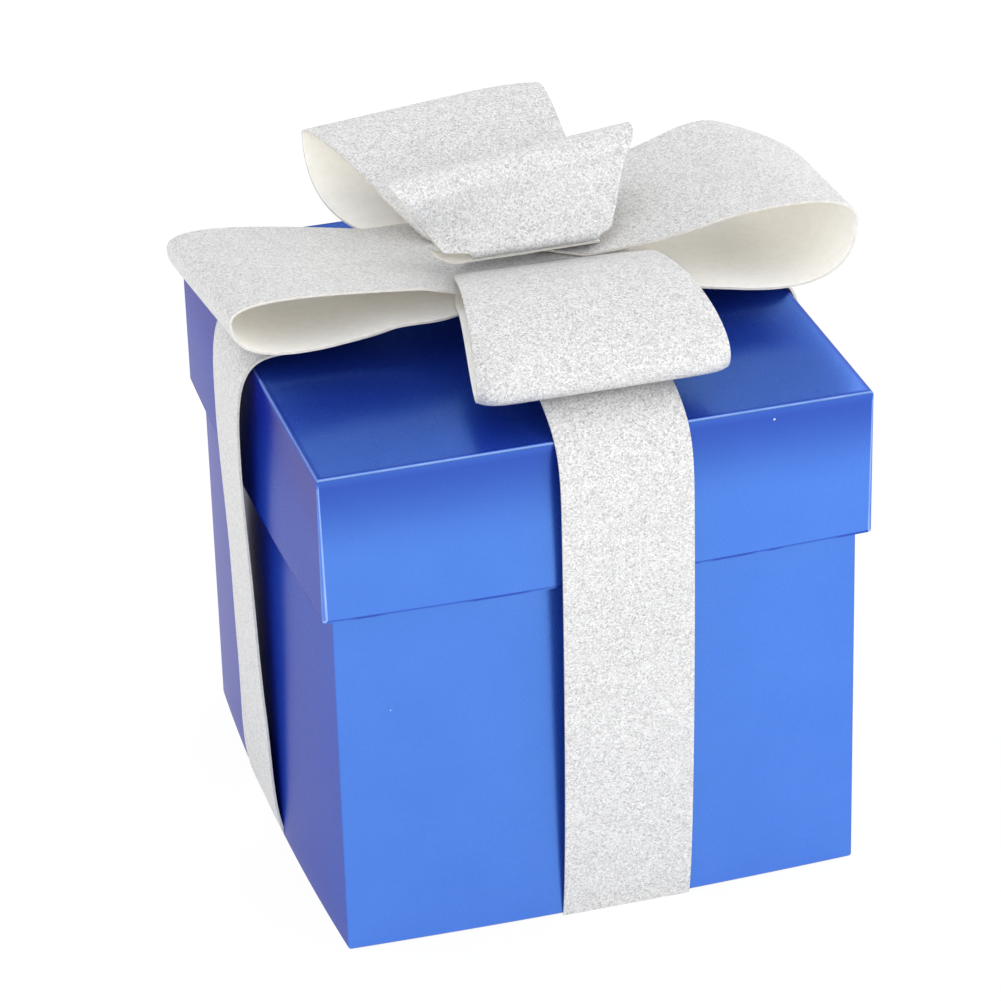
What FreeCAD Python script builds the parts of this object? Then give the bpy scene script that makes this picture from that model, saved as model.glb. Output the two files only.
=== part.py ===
import FreeCAD, Part
import math
import os

# Gift box in folded card with a slip-on ribbon cage and a looped bow.
# Millimetres. Origin at the middle of the base underside, X right, Y to the back, Z up.

V = FreeCAD.Vector
os.makedirs("parts", exist_ok=True)

# Box and lid, both folded from one blank each
base_w = 100.0
lid_w = 104.6
lid_top = 101.0
lid_wall = 29.0
card = 0.45
fold_r = 0.7
glue = 0.1
base_tab = 18.0
lid_tab = 15.0
tab_trim = 2.0
tab_slope = 4.0
glue_inset = 1.5

# Ribbon strips
ribbon_w = 25.0
ribbon_t = 0.45
tape = 0.45
foam = 1.45
cross_x = 4.0
cross_y = 4.9
cross_flat = 14.0
crown = 6.2
left_turn = -3.5
leg_room = 0.6
leg_lift = 0.05
leg_top = 14.0
leg_high = 39.0
leg_low = 12.0
leg_swing = 1.8
shoulder_in = 7.3

# One row per strip. stand: how far the leg bows out. rise and slope: height over the lid and fall
# at the shoulder. hold and lead: how far the crown and the shoulder pull the arch.
# nose and drop: the bend over the lid edge. trim: set in towards the lid edge.
strips = {
    "side": dict(stand=2.6, rise=3.1, slope=0.0, hold=0.4, lead=0.75, nose=-0.5, drop=2.5, trim=0.3),
    "front": dict(stand=4.1, rise=4.4, slope=0.36, hold=0.35, lead=0.2, nose=2.1, drop=-2.0, trim=0.33),
}

# Bow, its middle and the loop blanks
bow_x = 4.5
bow_y = 4.5
waist = 33.0
flare = 50.0
tail_flat = 18.0
ease = 3.0
twist_run = 16.0
butt = 0.2
facet_rows = 4

# One row per loop. turn, lean: degrees. reach, tip: the outer fold from the middle.
# sag and rise place the pull of the lower and upper sheet, low and high round the fold.
# tip counts from the loop's lower tail, or from the strip where the fold hangs over one.
loops = {
    "left": dict(turn=180.6, lean=7.7, reach=64.0, tip=4.9, sag=(25.8, -1.4), low=15.1, high=7.6,
                 rise=(31.1, 2.3), pinch=(8.5, 26.0), top_flat=8.0, twist_from=12.0, start=butt),
    "right": dict(turn=-0.4, lean=-3.0, reach=56.3, tip=9.0, sag=(30.1, -2.5), low=20.5, high=10.3,
                  rise=(18.5, 5.6), pinch=(10.5, 32.0), top_flat=7.0, twist_from=18.0, start=butt),
    "front": dict(turn=-92.0, lean=0.8, reach=53.8, tip=5.3, sag=(24.0, 5.4), low=11.4, high=8.5,
                  rise=(23.5, 10.3), pinch=(8.5, 18.0), top_flat=10.0, twist_from=8.0, start=butt,
                  over="front", flare=46.8),
    "back": dict(turn=101.1, lean=0.0, reach=45.6, tip=13.4, sag=(25.1, -0.5), low=20.5, high=3.5,
                 rise=(15.0, 7.5), pinch=(8.5, 22.0), top_flat=10.0, twist_from=8.0, start=butt + 2.1),
}

# Centre loop, a rolled band with a crest. Its front tail laps over the lower one, and the roll
# is drawn in and shifted towards the right. The lower tail's end stands out on the left as a tongue.
lap_tape = 0.15
knot_x = -4.5
knot_front = -9.9
knot_roll = 1.46
knot_pinch = 3.0
knot_shift = 1.5
knot_end = -10.2
tongue_out = 4.2
tongue_back = 0.85
tongue_run = 6.5
knot_heading = 95.0
knot_turn = 90.4
crest_turn = 102.0
knot_w = 28.7
crest_w = 51.6
face_low = 52.0
face_high = 85.2
face_r = 20.2
crest_r = 3.74
heel_r = 3.0
knot_pad = 1.2
knot_seam = -6.5

# Tape and foam pads, from left to right and front to back about the middle of the bow
tape_in = 0.4
left_end = tape_in - loops["left"]["top_flat"]
right_end = loops["right"]["top_flat"] - tape_in
pads = {
    "ribbon_cross_foam": (-9.5, 8.5, -9.0, 9.8),
    "bow_seat_tape": (-10.5, 10.5, -5.5, 5.5),
    "lower_tail_tape": (-5.5, 5.5, -8.5, 8.5),
    "left_tail_tape": (left_end, -0.5, -5.5, 5.5),
    "upper_tail_foam": (left_end, -0.7, -5.5, 7.5),
    "right_tail_tape": (0.5, right_end, -4.5, 4.5),
    "centre_loop_foam": (left_end, -1.0, -6.0, -2.0),
    "centre_loop_tape": (1.0, right_end, -4.5, -1.5),
    "centre_lap_tape": (-13.0, 8.5, -9.6, -6.9),
}

# Levels through the bow, each the middle of a sheet
step = ribbon_t + tape
lap = ribbon_t + lap_tape
strip_low = lid_top + crown
strip_high = strip_low + ribbon_t + foam
level_side = strip_high + step
level_cross = level_side + step
level_left = level_cross + step
level_top = level_left + ribbon_t + foam
level_right = level_top + step
level_knot = level_right + ribbon_t + knot_pad
strip_level = {"side": strip_high, "front": strip_low}
bottom_level = {"left": level_side, "right": level_side, "front": level_cross, "back": level_cross}
top_level = {"left": level_left, "right": level_right, "front": level_top, "back": level_top}


def block(x0, x1, y0, y1, z0, z1):
    return Part.makeBox(x1 - x0, y1 - y0, z1 - z0, V(x0, y0, z0))


def sector(radius, thick, length):
    # Quarter of a tube along Z from X towards Y, as one folded crease
    ring = Part.makeCylinder(radius, length, V(0, 0, 0), V(0, 0, 1), 90)
    return ring.cut(Part.makeCylinder(radius - thick, length))


def tray(width, height, tab):
    # Folded tray standing on its panel, and the four glue films of its corner tabs
    half = width / 2
    flat = half - fold_r
    end = half - card - glue - fold_r
    pieces = [block(-flat, flat, -flat, flat, 0, card)]
    films = []
    for k in range(4):
        spread = half if k % 2 == 0 else end
        crease = sector(fold_r, card, 2 * spread)
        crease.rotate(V(0, 0, 0), V(0, 1, 0), 90)
        crease.rotate(V(0, 0, 0), V(0, 0, 1), 180)
        crease.translate(V(spread, -flat, fold_r))
        wall = block(-spread, spread, -half, -half + card, fold_r, height)
        group = [crease, wall]
        if k % 2:
            foot = fold_r + tab_trim
            rise = height - tab_trim - foot
            for side in (-1, 1):
                bend = sector(fold_r, card, rise)
                bend.rotate(V(0, 0, 0), V(0, 0, 1), -90)
                bend.translate(V(end, -flat, foot))
                outer = half - card - glue
                corners = [V(outer, -flat, foot), V(outer, -flat + tab, foot + tab_slope),
                           V(outer, -flat + tab, foot + rise - tab_slope), V(outer, -flat, foot + rise)]
                flap = Part.Face(Part.makePolygon(corners + corners[:1])).extrude(V(-card, 0, 0))
                film = block(outer, half - card, -flat + glue_inset, -flat + tab - glue_inset,
                             foot + tab_slope, foot + rise - tab_slope)
                if side < 0:
                    bend = bend.mirror(V(0, 0, 0), V(1, 0, 0))
                    flap = flap.mirror(V(0, 0, 0), V(1, 0, 0))
                    film = film.mirror(V(0, 0, 0), V(1, 0, 0))
                film.rotate(V(0, 0, 0), V(0, 0, 1), 90 * k)
                films.append(film)
                group += [bend, flap]
        for piece in group:
            piece.rotate(V(0, 0, 0), V(0, 0, 1), 90 * k)
        pieces += group
    return pieces[0].fuse(pieces[1:]).removeSplitter(), Part.makeCompound(films)


def bezier(poles, t):
    # Point and direction on a plane curve
    points = list(poles)
    while len(points) > 2:
        points = [((1 - t) * a[0] + t * b[0], (1 - t) * a[1] + t * b[1])
                  for a, b in zip(points, points[1:])]
    a, b = points
    point = ((1 - t) * a[0] + t * b[0], (1 - t) * a[1] + t * b[1])
    return point, (b[0] - a[0], b[1] - a[1])


def bent_sheet(rows, thick):
    # Solid sheet through rows of middle, normal, across and half width
    run = [0.0]
    for a, b in zip(rows, rows[1:]):
        run.append(run[-1] + (b[0] - a[0]).Length)
    curves = {}
    for face in (1, -1):
        for side in (1, -1):
            points = [m + n * (face * thick / 2) + w * (side * h) for m, n, w, h in rows]
            curves[face, side] = Part.BSplineCurve()
            curves[face, side].interpolate(Points=points, Parameters=run)
    pairs = (((1, 1), (1, -1)), ((-1, 1), (-1, -1)), ((1, 1), (-1, 1)), ((1, -1), (-1, -1)))
    cuts = run[:-1:facet_rows] + run[-1:]
    faces = []
    for first, last in zip(cuts, cuts[1:]):
        for a, b in pairs:
            edges = [curves[corner].toShape(first, last) for corner in (a, b)]
            faces.append(Part.makeRuledSurface(edges[0], edges[1], 1))
    for m, n, w, h in (rows[0], rows[-1]):
        corners = [m + n * (f * thick / 2) + w * (s * h) for f, s in ((1, 1), (1, -1), (-1, -1), (-1, 1))]
        faces.append(Part.Face(Part.makePolygon(corners + corners[:1])))
    shell = Part.makeShell(faces)
    shell.sewShape()
    solid = Part.makeSolid(shell)
    if solid.Volume < 0:
        solid.reverse()
    return solid


def plane_row(point, slope, origin, out, across, half):
    # Row of a sheet whose middle line runs in the plane of out and up
    size = math.hypot(slope[0], slope[1])
    normal = out * (-slope[1] / size) + V(0, 0, slope[0] / size)
    return (origin + out * point[0] + V(0, 0, point[1]), normal, across, half)


def strip_chain(name, reach, room):
    # Arch, shoulder and leg of one side of a strip, from the flat middle to the floor
    size = strips[name]
    level = strip_level[name]
    high = lid_top + size["rise"]
    slope = size["slope"]
    edge = reach + room
    lip = edge - size["trim"]
    inner = lip - shoulder_in
    span = inner - cross_flat
    lead = span * size["lead"]
    bow = lip + size["stand"]
    knee = lid_top - leg_top
    foot = edge + leg_room
    return [
        [(cross_flat, level), (cross_flat + span * size["hold"], level), (inner - lead, high + slope * lead),
         (inner, high)],
        [(inner, high), (lip + size["nose"], high - slope * (size["nose"] + shoulder_in)),
         (bow, lid_top + size["drop"]), (bow, knee)],
        [(bow, knee), (bow, lid_top - leg_high), (foot + leg_swing, leg_low), (foot, leg_lift)],
    ]


def strip(name, reach_plus, reach_minus, minus_turn):
    # Strip along X through the crossing, flat in the middle, legs down to the floor.
    # The leg on the minus side may be turned about the upright.
    level = strip_level[name]
    side = ribbon_w / 2
    body = block(-cross_flat, cross_flat, -side, side, level - ribbon_t / 2, level + ribbon_t / 2)
    for sign, reach, turn in ((1, reach_plus, 0.0), (-1, reach_minus, math.radians(minus_turn))):
        rows = []
        for k, poles in enumerate(strip_chain(name, reach, side * math.sin(abs(turn)))):
            for i in range(0 if k == 0 else 1, 13):
                point, along = bezier(poles, i / 12)
                s = i / 12 if k == 1 else k / 2
                a = turn * s * s * (3 - 2 * s)
                out = V(sign * math.cos(a), sign * math.sin(a), 0)
                across = V(-sign * math.sin(a), sign * math.cos(a), 0)
                middle = (V(sign, 0, 0) - out) * point[0]
                rows.append(plane_row(point, along, middle, out, across, side))
        body = body.fuse(bent_sheet(rows, ribbon_t))
    return body.removeSplitter()


def strip_height(name, reach, u):
    # Middle of the strip's arch at a distance from the crossing, level past the shoulder
    poles = strip_chain(name, reach, 0.0)[0]
    points = [bezier(poles, i / 40)[0] for i in range(41)]
    for a, b in zip(points, points[1:]):
        if u < b[0]:
            return a[1] + (b[1] - a[1]) * max(u - a[0], 0.0) / (b[0] - a[0])
    return points[-1][1]


def loop_half(u, size):
    depth, length = size["pinch"]
    taper = waist + (size.get("flare", flare) - waist) * min(u / size["reach"], 1.0)
    return taper / 2 - depth * max(1 - u / length, 0.0) ** 2


def loop_row(point, slope, size, low, out, across, twist_from):
    s = min(max((point[0] - twist_from) / twist_run, 0.0), 1.0)
    lean = math.radians(size["lean"]) * s * s * (3 - 2 * s)
    tilted = across * math.cos(lean) + V(0, 0, math.sin(lean))
    along = out * slope[0] + V(0, 0, slope[1])
    normal = along.cross(tilted)
    normal.normalize()
    origin = V(bow_x, bow_y, low)
    return (origin + out * point[0] + V(0, 0, point[1]), normal, tilted, loop_half(point[0], size))


def tail(size, level, u0, u1, out, across):
    h0 = loop_half(u0, size)
    h1 = loop_half(u1, size)
    base = V(bow_x, bow_y, level - ribbon_t / 2)
    corners = [base + out * u0 + across * h0, base + out * u1 + across * h1,
               base + out * u1 - across * h1, base + out * u0 - across * h0]
    return Part.Face(Part.makePolygon(corners + corners[:1])).extrude(V(0, 0, ribbon_t))


def bow_loop(name):
    size = loops[name]
    a = math.radians(size["turn"])
    out = V(math.cos(a), math.sin(a), 0)
    across = V(-math.sin(a), math.cos(a), 0)
    low = bottom_level[name]
    lift = top_level[name] - low
    reach = size["reach"]
    tip = size["tip"]
    if "over" in size:
        tip += strip_height(size["over"], lid_w / 2 + cross_y, reach - bow_y + cross_y) - low
    lower = [(tail_flat, 0), (tail_flat + ease, 0), size["sag"], (reach, tip - size["low"]), (reach, tip)]
    rise = (size["rise"][0], lift + size["rise"][1])
    upper = [(reach, tip), (reach, tip + size["high"]), rise, (size["top_flat"] + ease, lift),
             (size["top_flat"], lift)]
    rows = []
    for poles, start, first in ((lower, tail_flat, 0), (upper, size["twist_from"], 1)):
        for i in range(first, 29):
            point, slope = bezier(poles, i / 28)
            rows.append(loop_row(point, slope, size, low, out, across, start))
    sheet = bent_sheet(rows, ribbon_t)
    ends = [tail(size, low, size["start"], tail_flat, out, across),
            tail(size, low + lift, size["start"], size["top_flat"], out, across)]
    return sheet.fuse(ends).removeSplitter()


def centre_loop():
    a = math.radians(knot_heading)
    out = V(math.cos(a), math.sin(a), 0)
    origin = V(bow_x + knot_x, bow_y, level_knot)
    th1 = math.radians(face_low)
    th2 = math.radians(face_high)
    path = []

    def arc(centre, radius, first, last, count, turn_from, turn_to, draw=0.0):
        # Headings from first to last, radius positive on a left turn. draw: drawn in at the start
        for i in range(count + 1):
            s = i / count
            h = first + (last - first) * s
            point = (centre[0] + radius * math.sin(h), centre[1] - radius * math.cos(h))
            turned = turn_from + (turn_to - turn_from) * s * s * (3 - 2 * s)
            if not path or math.dist(point, path[-1][0]) > 1e-6:
                path.append((point, (math.cos(h), math.sin(h)), turned, draw * (1 - s) ** 2))
        return path[-1][0]

    def centre_of(point, radius, heading):
        return (point[0] - radius * math.sin(heading), point[1] + radius * math.cos(heading))

    p = arc((knot_front, lap + knot_roll), -knot_roll, math.pi, th1, 12, 0, 0, 1.0)
    p = arc(centre_of(p, face_r, th1), face_r, th1, th2, 12, 0, 1)
    p = arc(centre_of(p, -crest_r, th2), -crest_r, th2, -math.pi / 2, 12, 1, 1)
    crest = max(q[0][1] for q in path)
    for i in range(1, 9):
        path.append(((p[0], p[1] + (heel_r - p[1]) * i / 8), (0, -1), 1, 0.0))
    p = path[-1][0]
    p = arc(centre_of(p, -heel_r, -math.pi / 2), -heel_r, -math.pi / 2, -math.pi, 8, 1, 1)
    rows = []
    for point, slope, turned, drawn in path:
        share = min(max(point[1] / crest, 0.0), 1.0)
        b = math.radians(knot_turn + (crest_turn - knot_turn) * turned)
        across = V(-math.sin(b), math.cos(b), 0)
        along = out * slope[0] + V(0, 0, slope[1])
        normal = along.cross(across)
        normal.normalize()
        half = (knot_w + (crest_w - knot_w) * share) / 2 - knot_pinch * drawn
        middle = origin + out * point[0] + V(0, 0, point[1]) - across * (knot_shift * drawn)
        rows.append((middle, normal, across, half))
    sheet = bent_sheet(rows, ribbon_t)
    thick = V(0, 0, ribbon_t)
    ends = []
    near = rows[0][2]
    side = near * rows[0][3]
    upper = rows[0][0] - thick / 2
    run = out * (knot_seam - knot_front)
    ends.append([upper + side, upper + run + side, upper + run - side, upper - side])
    lower = origin - thick / 2
    side = near * (knot_w / 2)
    heel = rows[-1][2] * (knot_w / 2)
    ends.append([lower + out * knot_end + side + near * tongue_out,
                 lower + out * (knot_end + tongue_run) + side + near * (tongue_out * tongue_back),
                 lower + out * p[0] + heel, lower + out * p[0] - heel, lower + out * knot_end - side])
    ends = [Part.Face(Part.makePolygon(corners + corners[:1])).extrude(thick) for corners in ends]
    return sheet.fuse(ends).removeSplitter()


def pad(name, below, above):
    # Tape between two sheets given by their middle levels, placed about the bow's middle
    x0, x1, y0, y1 = pads[name]
    under = below + ribbon_t / 2
    over = above - ribbon_t / 2
    write(name, block(bow_x + x0, bow_x + x1, bow_y + y0, bow_y + y1, under, over))


def write(name, shape):
    shape.exportStep("parts/" + name + ".step")


# Base and lid
base, base_films = tray(base_w, lid_top - card, base_tab)
write("base_box", base)
write("base_tab_glue", base_films)
lid, lid_films = tray(lid_w, lid_wall, lid_tab)
for piece in (lid, lid_films):
    piece.rotate(V(0, 0, 0), V(1, 0, 0), 180)
    piece.translate(V(0, 0, lid_top))
write("lid", lid)
write("lid_tab_glue", lid_films)

# Ribbon strips, the side one above the front one where they cross
half = lid_w / 2
side_strip = strip("side", half - cross_x, half + cross_x, left_turn)
side_strip.translate(V(cross_x, cross_y, 0))
write("ribbon_side_strip", side_strip)
front_strip = strip("front", half - cross_y, half + cross_y, 0.0)
front_strip.rotate(V(0, 0, 0), V(0, 0, 1), 90)
front_strip.translate(V(cross_x, cross_y, 0))
write("ribbon_front_strip", front_strip)

# Bow loops
for name in loops:
    write("bow_loop_" + name, bow_loop(name))
write("bow_centre_loop", centre_loop())

# Double-sided tape and foam pads through the middle of the bow
pad("ribbon_cross_foam", strip_low, strip_high)
pad("bow_seat_tape", strip_high, level_side)
pad("lower_tail_tape", level_side, level_cross)
pad("left_tail_tape", level_cross, level_left)
pad("upper_tail_foam", level_left, level_top)
pad("right_tail_tape", level_top, level_right)
pad("centre_loop_foam", level_top, level_knot)
pad("centre_loop_tape", level_right, level_knot)
pad("centre_lap_tape", level_knot, level_knot + lap)
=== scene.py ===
import bmesh
import bpy
import math
from mathutils import Matrix, Vector


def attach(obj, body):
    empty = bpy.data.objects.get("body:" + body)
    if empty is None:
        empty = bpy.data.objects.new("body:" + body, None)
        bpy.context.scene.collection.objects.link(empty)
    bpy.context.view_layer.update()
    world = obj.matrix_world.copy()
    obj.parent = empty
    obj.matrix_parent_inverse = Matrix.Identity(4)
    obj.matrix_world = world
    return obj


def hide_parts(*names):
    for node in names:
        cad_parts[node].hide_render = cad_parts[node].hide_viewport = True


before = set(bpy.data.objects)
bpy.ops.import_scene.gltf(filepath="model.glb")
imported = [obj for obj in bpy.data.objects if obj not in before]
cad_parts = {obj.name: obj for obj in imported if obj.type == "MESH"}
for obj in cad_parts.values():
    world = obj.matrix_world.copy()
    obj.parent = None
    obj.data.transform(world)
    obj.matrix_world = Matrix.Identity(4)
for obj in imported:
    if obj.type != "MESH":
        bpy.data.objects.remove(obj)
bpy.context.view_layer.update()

# Sizes in millimetres, as in the part's source. Meshes are written in metres.
MM = 0.001

# Box
base_w = 100.0
lid_w = 104.6
lid_top = 101.0
lid_wall = 29.0
card = 0.45
fold_r = 0.7
glue = 0.1
base_tab = 18.0
lid_tab = 15.0
tab_trim = 2.0
tab_slope = 4.0
tab_sink = 0.05
base_corner = 0.5
lid_corner = 0.3
lid_corner_gain = 0.5
inner_corner = 0.05

# How far the walls stand out between the corners, and the left wall's share of that
wall_bulge = 1.2
base_bulge_from = 55.0
base_bulge_to = 100.0
base_left_bulge = 1.5
lid_left_bulge = 0.8

# Widths of the lines along creases and rim, and the marks on them: pale above 0 is wear and painted
# highlight, dark below 0 is painted shade
corner_line = 0.12
top_line = 0.6
rim_from = 0.5
rim_line = 0.4
top_shade = -0.6
fold_shade = -0.6
wall_shade = -0.75
wall_shade_run = 18.0
corner_start_rub_and_highlight = 0.7
corner_rub_and_highlight = (0.9, 0.8, 0.2, 0.0, 0.2, 0.6)
rim_shade = -0.8
rim_corner_rub = 1.2

# Points along the trays' walls, corners and folds
run_half = 19
run_points = 2 * run_half + 1
corner_points = 5
side_points = run_points + 2 + corner_points
fold_steps = 8
climb_steps = 22
tab_steps = 8
tab_rise_steps = 20

# Ribbon
ribbon_w = 25.0
ribbon_t = 0.45
tape = 0.45
foam = 1.45
cross_x = 4.0
cross_y = 4.9
cross_flat = 14.0
crown = 6.2
left_turn = -3.5
leg_room = 0.6
leg_lift = 0.05
leg_top = 14.0
leg_high = 39.0
leg_low = 12.0
leg_swing = 1.8
shoulder_in = 7.3
cross_steps = 6
strip_steps = 28
strip_columns = 18

# The left leg is pressed to the wall, then let go, and turns back. Shares of the leg's length.
leg_press = 0.92
press_in = (0.05, 0.42)
press_out = (0.6, 0.9)
turn_out = (0.35, 0.95)

# One row per strip. stand: how far the leg bows out. rise and slope: height over the lid and fall
# at the shoulder. hold and lead: how far the crown and the shoulder pull the arch.
# nose and drop: the bend over the lid edge. trim: set in towards the lid edge. tuck: foot set in.
strips = {
    "side": dict(stand=2.6, rise=3.1, slope=0.0, hold=0.4, lead=0.75, nose=-0.5, drop=2.5, trim=0.3,
                 tuck=2.3),
    "front": dict(stand=4.1, rise=4.4, slope=0.36, hold=0.35, lead=0.2, nose=2.1, drop=-2.0, trim=0.33,
                  tuck=1.5),
}

# Bow
bow_x = 4.5
bow_y = 4.5
waist = 33.0
flare = 50.0
tail_flat = 18.0
ease = 3.0
twist_run = 16.0
butt = 0.2
back_gap = 2.1
tail_steps = 8
loop_steps = 60
end_steps = 4
loop_columns = 40

# One row per loop. turn and lean: heading and tilt in degrees. reach and tip: the fold.
# sag and rise place the pull of the lower and upper sheet, low and high round the fold.
# pinch: depth and length of the narrow tail. curl: how far the fold draws back at its near and
# far corner, and how late.
loops = {
    "left": dict(turn=180.6, lean=7.7, reach=64.0, tip=4.9, sag=(25.8, -1.4), low=15.1, high=7.6,
                 rise=(31.1, 2.3), pinch=(8.5, 26.0), top_flat=8.0, twist_from=12.0, start=butt),
    "right": dict(turn=-0.4, lean=-3.0, reach=56.3, tip=9.0, sag=(30.1, -2.5), low=20.5, high=10.3,
                  rise=(18.5, 5.6), pinch=(10.5, 32.0), top_flat=7.0, twist_from=18.0, start=butt,
                  curl=(0.0, 8.0, 2)),
    "front": dict(turn=-92.0, lean=0.8, reach=53.8, tip=-0.2, sag=(24.0, 5.4), low=11.4, high=8.5,
                  rise=(23.5, 10.3), pinch=(8.5, 18.0), top_flat=10.0, twist_from=8.0, start=butt, flare=46.8,
                  curl=(2.6, 1.6, 12)),
    "back": dict(turn=101.1, lean=0.0, reach=45.6, tip=13.4, sag=(25.1, -0.5), low=20.5, high=3.5,
                 rise=(15.0, 7.5), pinch=(8.5, 22.0), top_flat=10.0, twist_from=8.0, start=butt + back_gap,
                 curl=(3.0, 0.0, 4)),
}
no_curl = (0.0, 0.0, 2)
curl_from = 0.4
curl_flat = 0.1

# Centre loop
knot_x = -4.5
knot_front = -9.9
knot_roll = 1.46
knot_heading = 95.0
knot_pinch = 3.0
knot_shift = 1.5
knot_end = -10.2
knot_seam = -6.5
knot_turn = 90.4
knot_w = 28.7
knot_pad = 1.2
knot_columns = 24
crest_turn = 102.0
crest_w = 51.6
crest_r = 3.74
face_low = 52.0
face_high = 85.2
face_r = 20.2
heel_r = 3.0
draw_until = 0.7
lap_tape = 0.15
tongue_out = 4.2
tongue_back = 0.85
tongue_run = 6.5
tongue_round = 3.0
tongue_lift = 3.2
tongue_hinge = 1.5
seam_steps = 5
roll_steps = 24
face_steps = 30
crest_steps = 26
drop_steps = 12
heel_steps = 14
tongue_steps = 24
same_point = 0.000001

# Levels of the stacked strips and tails
step = ribbon_t + tape
lap = ribbon_t + lap_tape
strip_low = lid_top + crown
strip_high = strip_low + ribbon_t + foam
level_side = strip_high + step
level_cross = level_side + step
level_left = level_cross + step
level_top = level_left + ribbon_t + foam
level_right = level_top + step
level_knot = level_right + ribbon_t + knot_pad
strip_level = {"side": strip_high, "front": strip_low}
bottom_level = {"left": level_side, "right": level_side, "front": level_cross, "back": level_cross}
top_level = {"left": level_left, "right": level_right, "front": level_top, "back": level_top}

# Mesh finish
weld = 0.000004
smooth_angle = 35


# Node helpers
def new_material(name):
    m = bpy.data.materials.new(name)
    m.use_nodes = True
    return m, m.node_tree.nodes, m.node_tree.links, m.node_tree.nodes["Principled BSDF"]


def ramp(nodes, stops):
    r = nodes.new("ShaderNodeValToRGB")
    for element, (pos, col) in zip(r.color_ramp.elements, (stops[0], stops[-1])):
        element.position = pos
        element.color = (*col, 1)
    for pos, col in stops[1:-1]:
        r.color_ramp.elements.new(pos).color = (*col, 1)
    return r


def math_node(nodes, links, op, a, b):
    n = nodes.new("ShaderNodeMath")
    n.operation = op
    for i, v in enumerate((a, b)):
        if isinstance(v, float):
            n.inputs[i].default_value = v
        else:
            links.new(v, n.inputs[i])
    return n.outputs[0]


def mix_colour(nodes, links, fac, a, b, blend="MIX"):
    n = nodes.new("ShaderNodeMix")
    n.data_type = "RGBA"
    n.blend_type = blend
    for i, v in ((0, fac), (6, a), (7, b)):
        if isinstance(v, float):
            n.inputs[i].default_value = v
        elif isinstance(v, tuple):
            n.inputs[i].default_value = (*v, 1)
        else:
            links.new(v, n.inputs[i])
    return n.outputs[2]


def texture(nodes, links, kind, scale, **settings):
    t = nodes.new("ShaderNodeTex" + kind)
    links.new(nodes.new("ShaderNodeTexCoord").outputs["Object"], t.inputs["Vector"])
    t.inputs["Scale"].default_value = scale
    for k, v in settings.items():
        t.inputs[k].default_value = v
    return t


def bump(nodes, links, bsdf, height, strength, distance):
    b = nodes.new("ShaderNodeBump")
    b.inputs["Strength"].default_value = strength
    b.inputs["Distance"].default_value = distance
    links.new(height, b.inputs["Height"])
    links.new(b.outputs["Normal"], bsdf.inputs["Normal"])


# Materials. Distances are in metres.
# The pale crease colour is partly wear and partly painted highlight. The dark colour is painted shade.
pale_wear_and_highlight = (0.48, 0.66, 0.98)
painted_shade_colour = (0.015, 0.05, 0.3)
crease_even = 0.25
dust_pale = (0.8, 0.86, 0.95)
dust_size = 0.03
dust_rare = 0.95


def pearl_card():
    # Pearl-coated blue card, with pale lines along the creases that are partly wear and partly painted
    # highlight, painted shade beside creases, wall tops and rim, faint fibre and stray dust
    m, nodes, links, bsdf = new_material("pearl_blue_card")
    cloud = texture(nodes, links, "Noise", scale=55.0, Detail=4.0, Roughness=0.6)
    tone = ramp(nodes, [(0.3, (0.073, 0.222, 0.65)), (0.7, (0.082, 0.238, 0.68))])
    links.new(cloud.outputs["Fac"], tone.inputs["Fac"])
    wear_and_painted_light = nodes.new("ShaderNodeAttribute")
    wear_and_painted_light.attribute_name = "wear_and_painted_light"
    scuff = texture(nodes, links, "Noise", scale=170.0, Detail=3.0)
    # Above 0: pale lines, as wear and painted highlight. Below 0: painted shade.
    rub_and_painted_light = math_node(nodes, links, "MULTIPLY", wear_and_painted_light.outputs["Fac"],
                    math_node(nodes, links, "ADD", scuff.outputs["Fac"], crease_even))
    colour = mix_colour(nodes, links, rub_and_painted_light, tone.outputs["Color"], pale_wear_and_highlight)
    painted_shade = math_node(nodes, links, "MULTIPLY", wear_and_painted_light.outputs["Fac"], -1.0)
    colour = mix_colour(nodes, links, painted_shade, colour, painted_shade_colour)
    dust = texture(nodes, links, "Voronoi", scale=150.0)
    pick = nodes.new("ShaderNodeSeparateColor")
    links.new(dust.outputs["Color"], pick.inputs["Color"])
    speck = math_node(nodes, links, "MULTIPLY",
                      math_node(nodes, links, "LESS_THAN", dust.outputs["Distance"], dust_size),
                      math_node(nodes, links, "GREATER_THAN", pick.outputs["Red"], dust_rare))
    colour = mix_colour(nodes, links, speck, colour, dust_pale)
    links.new(colour, bsdf.inputs["Base Color"])
    bsdf.inputs["Metallic"].default_value = 0.92
    rough = nodes.new("ShaderNodeMapRange")
    fine = texture(nodes, links, "Noise", scale=2600.0, Detail=2.0)
    links.new(fine.outputs["Fac"], rough.inputs["Value"])
    rough.inputs["To Min"].default_value = 0.22
    rough.inputs["To Max"].default_value = 0.3
    links.new(rough.outputs["Result"], bsdf.inputs["Roughness"])
    bsdf.inputs["Specular Tint"].default_value = (0.24, 0.14, 0.03, 1)
    bsdf.inputs["Sheen Weight"].default_value = 0.25
    bsdf.inputs["Sheen Roughness"].default_value = 1.0
    bsdf.inputs["Sheen Tint"].default_value = (0.0, 0.02, 1.0, 1)
    bsdf.inputs["Coat Weight"].default_value = 0.42
    bsdf.inputs["Coat Roughness"].default_value = 0.2
    bump(nodes, links, bsdf, fine.outputs["Fac"], strength=0.05, distance=0.00005)
    return m


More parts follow.
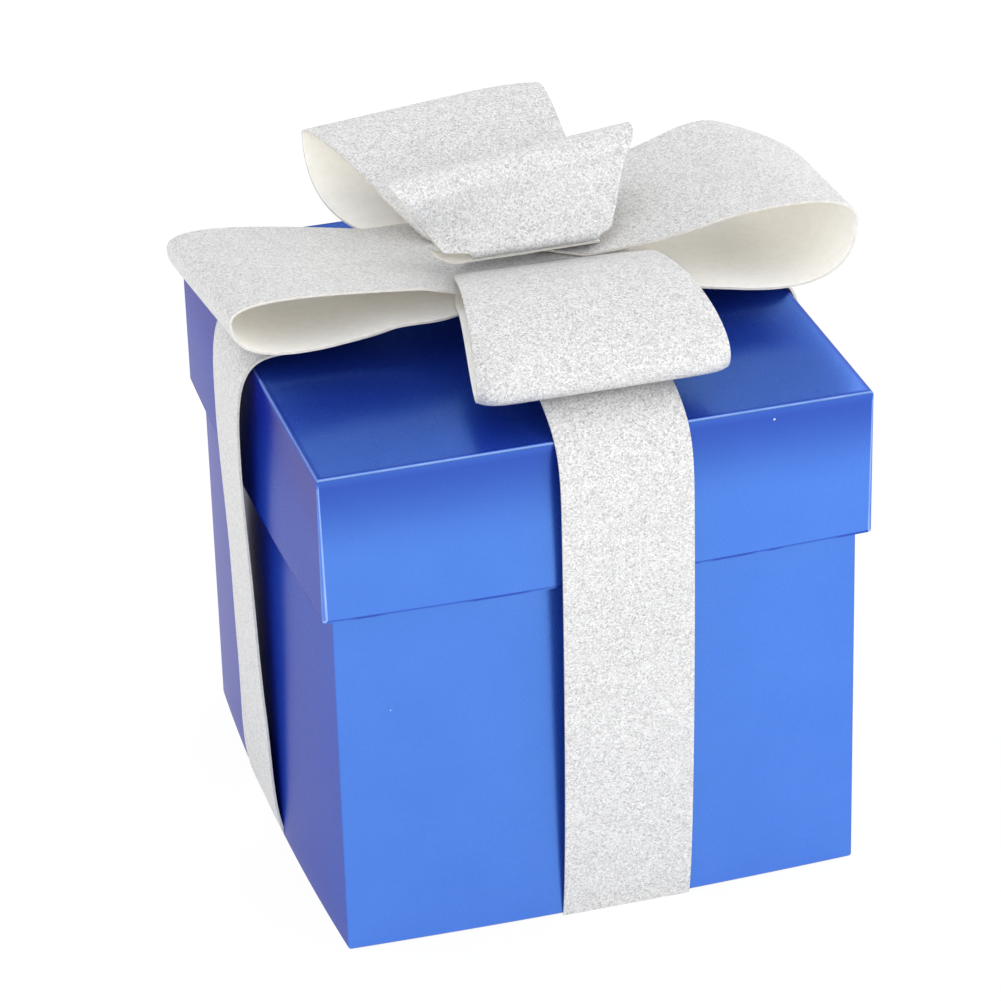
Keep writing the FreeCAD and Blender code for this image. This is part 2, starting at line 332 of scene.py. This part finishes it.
def plain_card(name, low, high, glow=0.0):
    # Uncoated card with soft mottling and fibre
    m, nodes, links, bsdf = new_material(name)
    mottle = texture(nodes, links, "Noise", scale=700.0, Detail=6.0, Roughness=0.65)
    tone = ramp(nodes, [(0.3, low), (0.7, high)])
    links.new(mottle.outputs["Fac"], tone.inputs["Fac"])
    links.new(tone.outputs["Color"], bsdf.inputs["Base Color"])
    bsdf.inputs["Roughness"].default_value = 0.8
    bsdf.inputs["Specular IOR Level"].default_value = 0.25
    bsdf.inputs["Subsurface Weight"].default_value = glow
    bsdf.inputs["Subsurface Radius"].default_value = (1.0, 0.95, 0.88)
    bsdf.inputs["Subsurface Scale"].default_value = 0.001
    fibre = texture(nodes, links, "Noise", scale=3500.0, Detail=3.0)
    bump(nodes, links, bsdf, fibre.outputs["Fac"], strength=0.15, distance=0.00005)
    return m


def glitter_card():
    # Silver flakes, each with its own shade and tilt, on a pale ground
    m, nodes, links, bsdf = new_material("silver_glitter_card")
    flake = texture(nodes, links, "Voronoi", scale=3800.0)
    pick = nodes.new("ShaderNodeSeparateColor")
    links.new(flake.outputs["Color"], pick.inputs["Color"])
    tone = ramp(nodes, [(0.0, (0.36, 0.36, 0.363)), (0.2, (0.48, 0.48, 0.482)), (0.55, (0.55, 0.55, 0.552)),
                        (1.0, (0.67, 0.67, 0.67))])
    links.new(pick.outputs["Red"], tone.inputs["Fac"])
    patch = texture(nodes, links, "Noise", scale=420.0, Detail=3.0)
    shade = ramp(nodes, [(0.3, (0.95, 0.95, 0.952)), (0.7, (1.0, 1.0, 1.0))])
    links.new(patch.outputs["Fac"], shade.inputs["Fac"])
    colour = mix_colour(nodes, links, 1.0, tone.outputs["Color"], shade.outputs["Color"], "MULTIPLY")
    links.new(colour, bsdf.inputs["Base Color"])
    metal = nodes.new("ShaderNodeMapRange")
    links.new(pick.outputs["Green"], metal.inputs["Value"])
    metal.inputs["From Min"].default_value = 0.6
    metal.inputs["To Max"].default_value = 0.5
    links.new(metal.outputs["Result"], bsdf.inputs["Metallic"])
    rough = nodes.new("ShaderNodeMapRange")
    links.new(pick.outputs["Blue"], rough.inputs["Value"])
    rough.inputs["To Min"].default_value = 0.3
    rough.inputs["To Max"].default_value = 0.6
    links.new(rough.outputs["Result"], bsdf.inputs["Roughness"])
    bump(nodes, links, bsdf, pick.outputs["Blue"], strength=0.25, distance=0.00012)
    return m


def tape_material(name, colour):
    # Tape, foam or glue with fine cells
    m, nodes, links, bsdf = new_material(name)
    cell = texture(nodes, links, "Voronoi", scale=1500.0)
    tone = ramp(nodes, [(0.0, tuple(c * 0.92 for c in colour)), (0.6, colour)])
    links.new(cell.outputs["Distance"], tone.inputs["Fac"])
    links.new(tone.outputs["Color"], bsdf.inputs["Base Color"])
    bsdf.inputs["Roughness"].default_value = 0.6
    bump(nodes, links, bsdf, cell.outputs["Distance"], strength=0.3, distance=0.0001)
    return m


blue = pearl_card()
inside = plain_card("box_inside_card", (0.76, 0.75, 0.72), (0.84, 0.83, 0.8))
cream = plain_card("cream_card_back", (0.9, 0.865, 0.79), (0.95, 0.925, 0.855), glow=0.8)
# The strip backs are painted darker than the cream loop backs, as shade
shaded_strip_back = plain_card("strip_back_painted_shade", (0.45, 0.43, 0.395), (0.52, 0.5, 0.46))
edge = plain_card("raw_card_edge", (0.52, 0.5, 0.46), (0.66, 0.64, 0.6))
glitter = glitter_card()


# Mesh helpers
def ramped(z, low, high):
    # Smooth step from 0 at low to 1 at high
    s = min(max((z - low) / (high - low), 0.0), 1.0)
    return s * s * (3 - 2 * s)


def bezier(poles, t):
    # Point and direction on a curve of any degree
    points = list(poles)
    while len(points) > 2:
        points = [((1 - t) * a[0] + t * b[0], (1 - t) * a[1] + t * b[1]) for a, b in zip(points, points[1:])]
    a, b = points
    return ((1 - t) * a[0] + t * b[0], (1 - t) * a[1] + t * b[1]), (b[0] - a[0], b[1] - a[1])


class Builder:
    # Collects patches of vertices and faces with a material and a value for wear, painted highlight and
    # painted shade
    def __init__(self):
        self.verts = []
        self.faces = []
        self.mats = []
        self.wear_and_painted_light = []

    def grid(self, rows, mat, wear_and_painted_light=None):
        start = len(self.verts)
        n = len(rows[0])
        for i, row in enumerate(rows):
            for j, p in enumerate(row):
                self.verts.append(Vector(p) * MM)
                self.wear_and_painted_light.append(wear_and_painted_light[i][j] if wear_and_painted_light else 0.0)
        for i in range(len(rows) - 1):
            for j in range(n - 1):
                a = start + i * n + j
                self.faces.append((a, a + 1, a + n + 1, a + n))
                self.mats.append(mat)

    def finish(self, name, mats, body, node, slot):
        mesh = bpy.data.meshes.new(name)
        mesh.from_pydata([v[:] for v in self.verts], [], self.faces)
        for m in mats:
            mesh.materials.append(m)
        mesh.polygons.foreach_set("material_index", self.mats)
        attr = mesh.attributes.new("wear_and_painted_light", "FLOAT", "POINT")
        attr.data.foreach_set("value", self.wear_and_painted_light)
        bm = bmesh.new()
        bm.from_mesh(mesh)
        bmesh.ops.remove_doubles(bm, verts=bm.verts, dist=weld)
        bmesh.ops.recalc_face_normals(bm, faces=bm.faces)
        bm.to_mesh(mesh)
        bm.free()
        mesh.polygons.foreach_set("use_smooth", [True] * len(mesh.polygons))
        mesh.set_sharp_from_angle(angle=math.radians(smooth_angle))
        obj = bpy.data.objects.new(name, mesh)
        bpy.context.scene.collection.objects.link(obj)
        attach(obj, body)
        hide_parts(node)


def bent_card(rows, columns, pull=lambda i, s: Vector()):
    # Sheet of ribbon through rows of middle, normal, across and half width. Material 0 on the normal's
    # side. pull: shift of row i at share s of the half width.
    b = Builder()
    share = [-1 + 2 * j / columns for j in range(columns + 1)]
    sheet = [[m + w * (s * h) + pull(i, s) for s in share] for i, (m, n, w, h) in enumerate(rows)]
    top = [[p + row[1] * (ribbon_t / 2) for p in line] for line, row in zip(sheet, rows)]
    low = [[p - row[1] * (ribbon_t / 2) for p in line] for line, row in zip(sheet, rows)]
    b.grid(top, 0)
    b.grid(low, 1)
    for j in (0, columns):
        b.grid([[t[j], l[j]] for t, l in zip(top, low)], 2)
    for i in (0, -1):
        b.grid([top[i], low[i]], 2)
    return b


# Folded trays
def tray(width, height, tab, bulge, left, place, corner, lines):
    # Outer and inner skin of a folded tray, with the corner tabs inside its front and back walls.
    # bulge, place and corner are functions. lines: 1 where creases, walls and rim get pale lines and painted
    # shade, or 0.
    half = width / 2
    flat = half - fold_r
    wall = half - card
    b = Builder()

    def put(x, y, z):
        # Walls stand a little out between the corners
        dx = bulge(z) * (1 - min(abs(y) / half, 1) ** 2) * (x / half) ** 3 * (left if x < 0 else 1.0)
        dy = bulge(z) * (1 - min(abs(x) / half, 1) ** 2) * (y / half) ** 3
        return place(x + dx, y + dy, z)

    def spread(end, line):
        # Even steps from side to side, with a narrow last step for the line along each end
        return [-end] + [(end - line) * (-1 + i / run_half) for i in range(run_points)] + [end]

    def ring(reach, radius, z):
        # Once round a square with rounded corners
        flank = reach - radius
        points = []
        for c, d in ((1, 0), (0, 1), (-1, 0), (0, -1)):
            run = [(x, -reach) for x in spread(flank, corner_line)]
            turns = [math.pi / 2 * i / (corner_points + 1) for i in range(1, corner_points + 1)]
            run += [(flank + radius * math.sin(a), -flank - radius * math.cos(a)) for a in turns]
            points += [put(x * c - y * d, x * d + y * c, z) for x, y in run]
        return points + points[:1]

    grid = spread(flat, top_line)
    # Painted shade along the top panel's outer line
    top_painted_shade = [[top_shade if max(abs(x), abs(y)) == flat else 0.0 for x in grid] for y in grid]
    b.grid([[put(x, y, 0) for x in grid] for y in grid], 0, top_painted_shade if lines else None)
    b.grid([[put(x, y, card) for x in grid] for y in grid], 1)
    bend = [math.pi / 2 * i / fold_steps for i in range(fold_steps + 1)]
    climb = [fold_r + (height - rim_from - fold_r) * i / climb_steps for i in range(1, climb_steps + 1)]
    climb += [height - rim_line, height]
    outer = []
    rub_and_painted_light = []
    for a in bend:
        turn = math.sin(a)
        outer.append(ring(flat + fold_r * turn, corner(0) * turn, fold_r - fold_r * math.cos(a)))
        # Folds: pale mid-fold, as wear and painted highlight, and painted shade at the fold's ends
        crease = math.sin(2 * a) ** 5 + fold_shade * lines * math.cos(2 * a) ** 2
        rub_and_painted_light.append([crease] * (4 * side_points + 1))
    for z in climb:
        share = (z - fold_r) / (height - fold_r)
        outer.append(ring(half, corner(share), z))
        # Walls: painted shade fading down from the top crease. Corner lines: wear and painted highlight.
        shade = wall_shade * lines * (1 - ramped(z, fold_r, wall_shade_run))
        side = [corner_start_rub_and_highlight * lines] + [shade] * run_points + [lines * v for v in corner_rub_and_highlight]
        # Rim: a painted shadow line along the lower edge, with pale worn corner tips
        if lines and z >= height - rim_line:
            side = [rim_shade] * (run_points + 2) + [rim_corner_rub] * corner_points
        rub_and_painted_light.append(side * 4 + side[:1])
    inner_r = fold_r - card
    inner = []
    for a in bend:
        turn = math.sin(a)
        inner.append(ring(flat + inner_r * turn, inner_corner * turn, fold_r - inner_r * math.cos(a)))
    inner += [ring(wall, inner_corner, z) for z in climb]
    b.grid(outer, 0, rub_and_painted_light)
    b.grid(inner, 1)
    b.grid([outer[-1], inner[-1]], 2)
    foot = fold_r + tab_trim
    rise = height - tab_trim - foot
    for sx in (-1, 1):
        for sy in (-1, 1):
            tab_out = []
            tab_in = []
            for i in range(tab_steps + 1):
                cut = tab_slope * i / tab_steps
                zs = [foot + cut + (rise - 2 * cut) * j / tab_rise_steps for j in range(tab_rise_steps + 1)]
                x = sx * (wall + tab_sink - (tab + tab_sink) * i / tab_steps)
                tab_out.append([put(x, sy * (wall - glue), z) for z in zs])
                tab_in.append([put(x, sy * (wall - glue - card), z) for z in zs])
            b.grid(tab_out, 0)
            b.grid(tab_in, 1)
            for j in (0, -1):
                b.grid([[p[j], q[j]] for p, q in zip(tab_out, tab_in)], 2)
            for i in (-1, 0):
                b.grid([tab_out[i], tab_in[i]], 2)
    return b


base = tray(base_w, lid_top - card, base_tab,
            lambda z: wall_bulge * (1 - ramped(z, base_bulge_from, base_bulge_to)), base_left_bulge,
            lambda x, y, z: (x, y, z), lambda s: base_corner, 0.0)
base.finish("base_shell", [blue, inside, edge], "base", "base_box", "blue_card")
lid = tray(lid_w, lid_wall, lid_tab,
           lambda z: wall_bulge * ramped(z, 0, lid_wall), lid_left_bulge,
           lambda x, y, z: (x, -y, lid_top - z), lambda s: lid_corner + lid_corner_gain * s, 1.0)
lid.finish("lid_shell", [blue, inside, edge], "lid", "lid", "blue_card")


# Ribbon strips
def strip_chain(name, reach, room):
    # Arch, shoulder and leg of one side of a strip, from the flat middle to the floor
    size = strips[name]
    level = strip_level[name]
    high = lid_top + size["rise"]
    slope = size["slope"]
    brim = reach + room
    lip = brim - size["trim"]
    inner = lip - shoulder_in
    span = inner - cross_flat
    lead = span * size["lead"]
    bow = lip + size["stand"]
    knee = lid_top - leg_top
    foot = brim + leg_room
    end = foot - size["tuck"]
    return [
        [(cross_flat, level), (cross_flat + span * size["hold"], level), (inner - lead, high + slope * lead),
         (inner, high)],
        [(inner, high), (lip + size["nose"], high - slope * (size["nose"] + shoulder_in)),
         (bow, lid_top + size["drop"]), (bow, knee)],
        [(bow, knee), (bow, lid_top - leg_high), (foot + leg_swing, leg_low), (end, leg_lift)],
    ]


def ribbon_strip(name, reach_plus, reach_minus, heading, minus_turn):
    # Strip through the crossing. The leg on the minus side is turned below the shoulder.
    level = strip_level[name]
    side = ribbon_w / 2
    spin = Matrix.Rotation(math.radians(heading), 3, "Z")
    centre = Vector((cross_x, cross_y, 0))
    rows = []
    for sign, reach, turn in ((-1, reach_minus, math.radians(minus_turn)), (1, reach_plus, 0.0)):
        part = [((cross_flat * i / cross_steps, level), (1, 0), 0.0) for i in range(cross_steps)]
        for k, poles in enumerate(strip_chain(name, reach, side * math.sin(abs(turn)))):
            for i in range(0 if k == 0 else 1, strip_steps + 1):
                t = i / strip_steps
                share = (0.0, ramped(t, 0, 1), 1 - ramped(t, *turn_out))[k]
                (far, z), along = bezier(poles, t)
                if k == 2 and turn:
                    far -= leg_press * ramped(t, *press_in) * (1 - ramped(t, *press_out))
                part.append(((far, z), along, share))
        leg = []
        for point, along, share in part:
            a = turn * share
            out = Vector((sign * math.cos(a), sign * math.sin(a), 0))
            across = Vector((-math.sin(a), math.cos(a), 0))
            middle = Vector((sign * point[0], 0, point[1]))
            size = math.hypot(along[0], along[1])
            normal = out * (-along[1] / size) + Vector((0, 0, along[0] / size))
            leg.append((centre + spin @ middle, spin @ normal, spin @ across, side))
        rows += leg[::-1] if sign < 0 else leg[1:]
    return bent_card(rows, strip_columns)


half = lid_w / 2
ribbon_strip("side", half - cross_x, half + cross_x, 0.0, left_turn).finish(
    "side_strip", [glitter, shaded_strip_back, edge], "ribbon", "ribbon_side_strip", "glitter_card")
ribbon_strip("front", half - cross_y, half + cross_y, 90.0, 0.0).finish(
    "front_strip", [glitter, shaded_strip_back, edge], "ribbon", "ribbon_front_strip", "glitter_card")


# Bow loops
def loop_half(u, size):
    # Half width at a distance from the middle of the bow
    depth, length = size["pinch"]
    taper = waist + (size.get("flare", flare) - waist) * min(u / size["reach"], 1.0)
    return taper / 2 - depth * max(1 - u / length, 0.0) ** 2


def bow_loop(name):
    # Tapered strip out along its lower tail, round the fold and back along its upper tail
    size = loops[name]
    a = math.radians(size["turn"])
    out = Vector((math.cos(a), math.sin(a), 0))
    across = Vector((-math.sin(a), math.cos(a), 0))
    low = bottom_level[name]
    lift = top_level[name] - low
    reach = size["reach"]
    tip = size["tip"]
    start = size["start"]
    top_flat = size["top_flat"]
    twist_from = size["twist_from"]
    lower = [(tail_flat, 0), (tail_flat + ease, 0), size["sag"], (reach, tip - size["low"]), (reach, tip)]
    upper = [(reach, tip), (reach, tip + size["high"]), (size["rise"][0], lift + size["rise"][1]),
             (top_flat + ease, lift), (top_flat, lift)]
    origin = Vector((bow_x, bow_y, low))
    near, far, power = size.get("curl", no_curl)
    rows = []
    pulls = []

    def add(point, slope, lean_from):
        lean = math.radians(size["lean"]) * ramped(point[0] - lean_from, 0, twist_run)
        tilted = across * math.cos(lean) + Vector((0, 0, math.sin(lean)))
        normal = (out * slope[0] + Vector((0, 0, slope[1]))).cross(tilted).normalized()
        middle = origin + out * point[0] + Vector((0, 0, point[1]))
        rows.append((middle, -normal, tilted, loop_half(point[0], size)))
        pulls.append(out * -ramped(point[0], curl_from * reach, reach))

    for i in range(tail_steps):
        add((start + (tail_flat - start) * i / tail_steps, 0), (1, 0), tail_flat)
    for i in range(loop_steps + 1):
        add(*bezier(lower, i / loop_steps), tail_flat)
    for i in range(1, loop_steps + 1):
        add(*bezier(upper, i / loop_steps), twist_from)
    for i in range(1, end_steps + 1):
        add((top_flat + (start - top_flat) * i / end_steps, lift), (-1, 0), twist_from)

    def pull(i, s):
        # The fold draws back towards the strip's long edges
        share = max(abs(s) - curl_flat, 0.0) / (1 - curl_flat)
        return pulls[i] * ((near if s < 0 else far) * share ** power)

    return bent_card(rows, loop_columns, pull)


for name in loops:
    bow_loop(name).finish("loop_" + name, [glitter, cream, edge], "ribbon", "bow_loop_" + name,
                          "glitter_card")


def centre_loop():
    # Rolled band from its lap over the face and the crest, down the heel and back along the lower tail
    a = math.radians(knot_heading)
    out = Vector((math.cos(a), math.sin(a), 0))
    origin = Vector((bow_x + knot_x, bow_y, level_knot))
    th1 = math.radians(face_low)
    th2 = math.radians(face_high)
    path = []

    def arc(centre, radius, first, last, count, turn_from, turn_to, draw=0.0):
        # Headings from first to last, radius positive on a left turn. draw: drawn in at the start.
        for i in range(count + 1):
            s = i / count
            h = first + (last - first) * s
            point = (centre[0] + radius * math.sin(h), centre[1] - radius * math.cos(h))
            turned = turn_from + (turn_to - turn_from) * ramped(s, 0, 1)
            drawn = draw * (1 - ramped(s, draw_until, 1.0))
            if math.dist(point, path[-1][0]) > same_point:
                path.append((point, (math.cos(h), math.sin(h)), turned, drawn))
        return path[-1][0]

    def centre_of(point, radius, heading):
        return (point[0] - radius * math.sin(heading), point[1] + radius * math.cos(heading))

    for i in range(seam_steps):
        path.append(((knot_seam + (knot_front - knot_seam) * i / seam_steps, lap), (-1, 0), 0, 1.0))
    p = arc((knot_front, lap + knot_roll), -knot_roll, math.pi, th1, roll_steps, 0, 0, 1.0)
    p = arc(centre_of(p, face_r, th1), face_r, th1, th2, face_steps, 0, 1)
    p = arc(centre_of(p, -crest_r, th2), -crest_r, th2, -math.pi / 2, crest_steps, 1, 1)
    crest = max(q[0][1] for q in path)
    for i in range(1, drop_steps + 1):
        path.append(((p[0], p[1] + (heel_r - p[1]) * i / drop_steps), (0, -1), 1, 0.0))
    p = path[-1][0]
    p = arc(centre_of(p, -heel_r, -math.pi / 2), -heel_r, -math.pi / 2, -math.pi, heel_steps, 1, 1)
    tail = len(path)
    for i in range(1, tongue_steps + 1):
        s = i / tongue_steps
        path.append(((p[0] + (knot_end - p[0]) * s, 0), (-1, 0), 1 - s, 0.0))
    rows = []
    for point, slope, turned, drawn in path:
        share = min(max(point[1] / crest, 0.0), 1.0)
        b = math.radians(knot_turn + (crest_turn - knot_turn) * turned)
        across = Vector((-math.sin(b), math.cos(b), 0))
        normal = (out * slope[0] + Vector((0, 0, slope[1]))).cross(across).normalized()
        middle = origin + out * point[0] + Vector((0, 0, point[1])) - across * (knot_shift * drawn)
        rows.append((middle, normal, across, (knot_w + (crest_w - knot_w) * share) / 2 - knot_pinch * drawn))
    tongue = {}
    for i in range(tail, len(path)):
        # Rounded tongue on the left of the lower tail
        gap = path[i][0][0] - knot_end
        slant = tongue_back * min((p[0] - path[i][0][0]) / (p[0] - knot_end - tongue_run), 1.0)
        wide = tongue_out * (slant + (1 - tongue_back) * max(1 - gap / tongue_run, 0.0))
        nick = max(tongue_round - gap, 0.0)
        wide -= tongue_round - math.sqrt(tongue_round ** 2 - nick ** 2)
        m, n, w, h = rows[i]
        rows[i] = (m + w * (wide / 2), n, w, h + wide / 2)
        tongue[i] = (wide, h)

    def pull(i, s):
        # The tongue curls up towards its end
        if i not in tongue:
            return Vector()
        wide, h = tongue[i]
        beyond = max(wide / 2 + s * (h + wide / 2) - h + tongue_hinge, 0.0)
        return Vector((0, 0, tongue_lift * (beyond / (tongue_out + tongue_hinge)) ** 2))

    return bent_card(rows, knot_columns, pull)


centre_loop().finish("centre_loop", [glitter, cream, edge], "ribbon", "bow_centre_loop", "glitter_card")

# Hidden tape, foam and glue keep their solids
hidden = {
    "tape": tape_material("tape_film", (0.86, 0.86, 0.82)),
    "foam": tape_material("tape_foam", (0.88, 0.88, 0.87)),
    "glue": tape_material("dry_glue", (0.85, 0.84, 0.78)),
}
for node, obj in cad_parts.items():
    kind = node.split("_")[-1]
    if kind in hidden:
        obj.data.materials.clear()
        obj.data.materials.append(hidden[kind])

# Floor, white to the camera and pale in reflections
floor_half = 4.0
floor_drop = 0.0002
floor_tone = 0.94
floor_mirror = 0.7
floor_seen = 0.94
floor_mesh = bpy.data.meshes.new("floor")
floor_corners = [(x * floor_half, y * floor_half, 0) for x, y in ((-1, -1), (1, -1), (1, 1), (-1, 1))]
floor_mesh.from_pydata(floor_corners, [], [(0, 1, 2, 3)])
floor = bpy.data.objects.new("floor", floor_mesh)
floor.location.z = -floor_drop
bpy.context.scene.collection.objects.link(floor)
m, nodes, links, bsdf = new_material("floor_white")
bsdf.inputs["Base Color"].default_value = (floor_tone, floor_tone, floor_tone, 1)
bsdf.inputs["Roughness"].default_value = 0.9
glow = nodes.new("ShaderNodeEmission")
glow.inputs["Strength"].default_value = 1.0
both = nodes.new("ShaderNodeMixShader")
ray = nodes.new("ShaderNodeLightPath")
mirrored = math_node(nodes, links, "MULTIPLY", ray.outputs["Is Glossy Ray"], floor_mirror)
seen = math_node(nodes, links, "MULTIPLY", ray.outputs["Is Camera Ray"], floor_seen)
links.new(math_node(nodes, links, "MAXIMUM", mirrored, seen), both.inputs[0])
links.new(bsdf.outputs[0], both.inputs[1])
links.new(glow.outputs[0], both.inputs[2])
links.new(both.outputs[0], nodes["Material Output"].inputs["Surface"])
floor_mesh.materials.append(m)

# World: soft haze as light, dimmer in reflections, white to the camera
haze_low = 1.66
haze_high = 1.5
haze_sides = 0.78
haze_ends = 1.15
haze_mirror = 0.65
world = bpy.data.worlds.new("studio")
bpy.context.scene.world = world
world.use_nodes = True
nodes, links = world.node_tree.nodes, world.node_tree.links
ray = nodes.new("ShaderNodeLightPath")
compass = nodes.new("ShaderNodeSeparateXYZ")
links.new(nodes.new("ShaderNodeTexCoord").outputs["Generated"], compass.inputs[0])
haze = nodes.new("ShaderNodeMapRange")
haze.inputs["To Min"].default_value = haze_low
haze.inputs["To Max"].default_value = haze_high
links.new(compass.outputs["Z"], haze.inputs["Value"])
ends = nodes.new("ShaderNodeMapRange")
ends.inputs["To Min"].default_value = haze_sides
ends.inputs["To Max"].default_value = haze_ends
depth = math_node(nodes, links, "MULTIPLY", compass.outputs["Y"], compass.outputs["Y"])
links.new(depth, ends.inputs["Value"])
soft = nodes["Background"]
links.new(math_node(nodes, links, "MULTIPLY", haze.outputs["Result"], ends.outputs["Result"]),
          soft.inputs["Strength"])
mirror = nodes.new("ShaderNodeBackground")
mirror.inputs["Strength"].default_value = haze_mirror
white = nodes.new("ShaderNodeBackground")
white.inputs["Strength"].default_value = 1.0
shine = nodes.new("ShaderNodeMixShader")
links.new(ray.outputs["Is Glossy Ray"], shine.inputs[0])
links.new(soft.outputs[0], shine.inputs[1])
links.new(mirror.outputs[0], shine.inputs[2])
shown = nodes.new("ShaderNodeMixShader")
links.new(ray.outputs["Is Camera Ray"], shown.inputs[0])
links.new(shine.outputs[0], shown.inputs[1])
links.new(white.outputs[0], shown.inputs[2])
links.new(shown.outputs[0], nodes["World Output"].inputs["Surface"])
for back in (soft, mirror, white):
    back.inputs["Color"].default_value = (1, 1, 1, 1)


# Lights, in metres and watts
def area(name, place, aim, size, power):
    lamp = bpy.data.lights.new(name, "AREA")
    lamp.shape = "SQUARE"
    lamp.size = size
    lamp.energy = power
    obj = bpy.data.objects.new(name, lamp)
    obj.location = place
    obj.rotation_euler = (Vector(aim) - Vector(place)).to_track_quat("-Z", "Y").to_euler()
    bpy.context.scene.collection.objects.link(obj)


area("key_front", place=(-0.32, -0.75, 0.42), aim=(-0.01, 0, 0.1), size=0.3, power=0.5)
area("side_front", place=(0.36, -0.25, 0.22), aim=(0.13, -0.16, 0), size=0.25, power=0.5)
area("back_right", place=(0.62, 0.95, 0.62), aim=(0.03, 0, 0.1), size=0.4, power=0.8)
area("top_soft", place=(0.1, -0.2, 1.5), aim=(0, 0, 0.1), size=1.2, power=2.0)

# Camera at the photograph's angle
eye = Vector((-214.430, -739.799, 475.048)) * MM
aim = Vector((2.576, 22.513, 49.349)) * MM
roll = math.radians(-1.66)
forward = (aim - eye).normalized()
right = forward.cross(Vector((0, 0, 1))).normalized()
up = right.cross(forward)
right, up = right * math.cos(roll) + up * math.sin(roll), up * math.cos(roll) - right * math.sin(roll)
camera = bpy.data.cameras.new("camera")
camera.lens = 163.37
camera.sensor_width = 36.0
view = bpy.data.objects.new("camera", camera)
spin = Matrix((right, up, -forward)).transposed().to_4x4()
view.matrix_world = Matrix.Translation(eye) @ spin
bpy.context.scene.collection.objects.link(view)
bpy.context.scene.camera = view
bpy.context.scene.view_settings.view_transform = "Standard"
